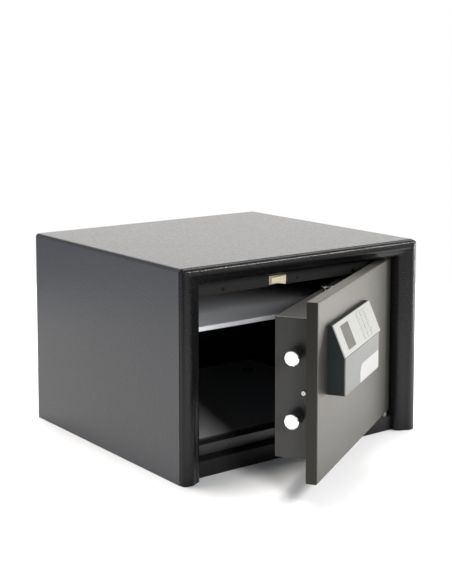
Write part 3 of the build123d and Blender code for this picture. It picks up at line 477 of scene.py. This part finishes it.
def cap_centre(node):
    """Centre of a key's outer face, from the node's own vertices."""
    points = [vertex.co for vertex in nodes[node].data.vertices]
    top = max(-point.dot(INWARD) for point in points)
    rim = [point for point in points if -point.dot(INWARD) > top - CAP_TOLERANCE]
    u = [point.dot(ALONG) for point in rim]
    v = [point.dot(UPSLOPE) for point in rim]
    middle = ALONG * (min(u) + max(u)) / 2 + UPSLOPE * (min(v) + max(v)) / 2
    return middle - INWARD * (top + LEGEND_UP)


def legend(key, ink):
    """Lay a key's digit or word flat on its cap, as thin letters that ride with the key."""
    name = key.removeprefix("key_")
    curve = bpy.data.curves.new(f"legend_{name}_line", "FONT")
    curve.body = LEGENDS.get(name, name)
    curve.size = LEGEND_SIZE
    curve.extrude = LEGEND_T
    curve.align_x = "CENTER"
    curve.align_y = "CENTER"
    curve.resolution_u = LEGEND_STEPS
    drawn = bpy.data.objects.new("legend_line", curve)
    bpy.context.collection.objects.link(drawn)
    bpy.context.view_layer.update()
    mesh = bpy.data.meshes.new_from_object(drawn)
    bpy.data.objects.remove(drawn)
    turn = Matrix((ALONG, UPSLOPE, -INWARD)).transposed().to_4x4()
    mesh.transform(Matrix.Translation(cap_centre(key)) @ turn)
    mesh.materials.clear()
    mesh.materials.append(ink)
    piece = bpy.data.objects.new(f"legend_{name}", mesh)
    bpy.context.collection.objects.link(piece)
    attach(piece, key)


def legends():
    ink = print_ink()
    for key in KEYS:
        legend(key, ink)


# ---- studio ----


def floor():
    """A plain disc just below the safe's underside."""
    made = bmesh.new()
    bmesh.ops.create_circle(made, cap_ends=True, radius=FLOOR_RADIUS, segments=FLOOR_SEGMENTS)
    mesh = bpy.data.meshes.new("studio_floor")
    made.to_mesh(mesh)
    made.free()
    mesh.transform(Matrix.Translation((0, 0, -FLOOR_DROP)))
    mesh.materials.append(floor_paper())
    laid = bpy.data.objects.new("studio_floor", mesh)
    bpy.context.collection.objects.link(laid)


def softbox(name, at, aim, size, watts):
    """A rectangular area light that stands at one point and faces another."""
    light = bpy.data.lights.new(name, "AREA")
    light.shape = "RECTANGLE"
    light.size, light.size_y = size
    light.energy = watts
    lamp = bpy.data.objects.new(name, light)
    lamp.location = at
    towards = Vector(aim) - Vector(at)
    lamp.rotation_mode = "QUATERNION"
    lamp.rotation_quaternion = towards.to_track_quat("-Z", "Y")
    bpy.context.collection.objects.link(lamp)


def sun(name, towards, strength, spread, colour):
    """A distant light that stands in the given direction and spreads over an angle in degrees."""
    light = bpy.data.lights.new(name, "SUN")
    light.energy = strength
    light.angle = math.radians(spread)
    light.color = colour
    lamp = bpy.data.objects.new(name, light)
    lamp.rotation_mode = "QUATERNION"
    lamp.rotation_quaternion = Vector(towards).to_track_quat("Z", "Y")
    bpy.context.collection.objects.link(lamp)


class Surroundings:
    """Plain surroundings whose brightness and tone depend only on the direction."""

    def __init__(self):
        world = bpy.data.worlds.new("studio")
        bpy.context.scene.world = world
        world.use_nodes = True
        self.tree = world.node_tree
        place = self.tree.nodes.new("ShaderNodeTexCoord")
        self.direction = self.tree.nodes.new("ShaderNodeSeparateXYZ")
        self.link(place.outputs["Generated"], self.direction.inputs["Vector"])

    def link(self, source, target):
        self.tree.links.new(source, target)

    def ramp(self, axis, band, low=0.0, high=1.0):
        """A smooth step from low to high over a band of one axis of the direction."""
        made = self.tree.nodes.new("ShaderNodeMapRange")
        made.interpolation_type = "SMOOTHSTEP"
        made.inputs["From Min"].default_value = band[0]
        made.inputs["From Max"].default_value = band[1]
        made.inputs["To Min"].default_value = low
        made.inputs["To Max"].default_value = high
        self.link(self.direction.outputs[axis], made.inputs["Value"])
        return made.outputs["Result"]

    def join(self, operation, *values):
        """Fold the values together, two at a time, by one operation of the math node."""
        total = values[0]
        for value in values[1:]:
            made = self.tree.nodes.new("ShaderNodeMath")
            made.operation = operation
            self.link(total, made.inputs[0])
            self.link(value, made.inputs[1])
            total = made.outputs["Value"]
        return total

    def strength(self):
        """Bright low down on the right, at the back and far left of the back, and dim elsewhere."""
        right = self.ramp("X", RIGHT_X, high=WORLD_RIGHT)
        back = self.join("MULTIPLY", self.ramp("X", BACK_X), self.ramp("Y", BACK_Y, high=WORLD_BACK))
        left = self.join("MULTIPLY", self.ramp("X", LEFT_X), self.ramp("Y", LEFT_Y, high=WORLD_LEFT))
        glow = self.join("MAXIMUM", right, back, left)
        low_glow = self.join("MULTIPLY", glow, self.ramp("Z", LOW_Z))
        rest = self.ramp("Z", HORIZON_Z, low=WORLD_LOWER, high=WORLD_REST)
        return self.join("MAXIMUM", low_glow, rest)

    def tone(self):
        """Cool light from the left, warm light from the right."""
        made = self.tree.nodes.new("ShaderNodeMix")
        made.data_type = "RGBA"
        made.inputs["A"].default_value = (*COOL, 1)
        made.inputs["B"].default_value = (*WARM, 1)
        self.link(self.ramp("X", TONE_X), made.inputs["Factor"])
        return made.outputs["Result"]

    def paint(self):
        """Light the scene with the strength and the tone, and show plain white behind it."""
        shine = self.tree.nodes["Background"]
        self.link(self.tone(), shine.inputs["Color"])
        self.link(self.strength(), shine.inputs["Strength"])
        backdrop = self.tree.nodes.new("ShaderNodeBackground")
        backdrop.inputs["Color"].default_value = (1, 1, 1, 1)
        path = self.tree.nodes.new("ShaderNodeLightPath")
        mix = self.tree.nodes.new("ShaderNodeMixShader")
        self.link(path.outputs["Is Camera Ray"], mix.inputs["Fac"])
        self.link(shine.outputs["Background"], mix.inputs[1])
        self.link(backdrop.outputs["Background"], mix.inputs[2])
        self.link(mix.outputs["Shader"], self.tree.nodes["World Output"].inputs["Surface"])


def camera():
    """A camera just above the safe, turned to its front left corner and shifted down."""
    data = bpy.data.cameras.new("camera")
    data.lens = CAMERA_LENS
    data.shift_x, data.shift_y = CAMERA_SHIFT
    data.clip_start, data.clip_end = CAMERA_CLIP
    made = bpy.data.objects.new("camera", data)
    made.location = CAMERA_AT
    made.rotation_euler = (math.radians(90 - CAMERA_PITCH), 0, -math.radians(CAMERA_YAW))
    bpy.context.collection.objects.link(made)
    bpy.context.scene.camera = made


def lights():
    """A broad light from above, a small one beside the right post and two from the front."""
    sun("overhead", towards=(0, 0.25, 0.97), strength=3.8, spread=30, colour=SUN_TINT)
    softbox("rim_box", at=(0.95, -0.4, 0.2), aim=(0.23, -0.21, 0.17), size=(0.14, 0.4), watts=2)
    softbox("key_box", at=(1.65, -1.5, 1.8), aim=(0, -0.2, 0.25), size=(0.8, 0.45), watts=52)
    softbox("front_box", at=(-0.5, -2.3, 0.95), aim=(-0.08, -0.1, 0.2), size=(0.6, 0.6), watts=50)


dress_cabinet()
dress_door()
dress_console()
legends()
camera()
floor()
lights()
Surroundings().paint()
bpy.context.scene.view_settings.view_transform = "Standard"
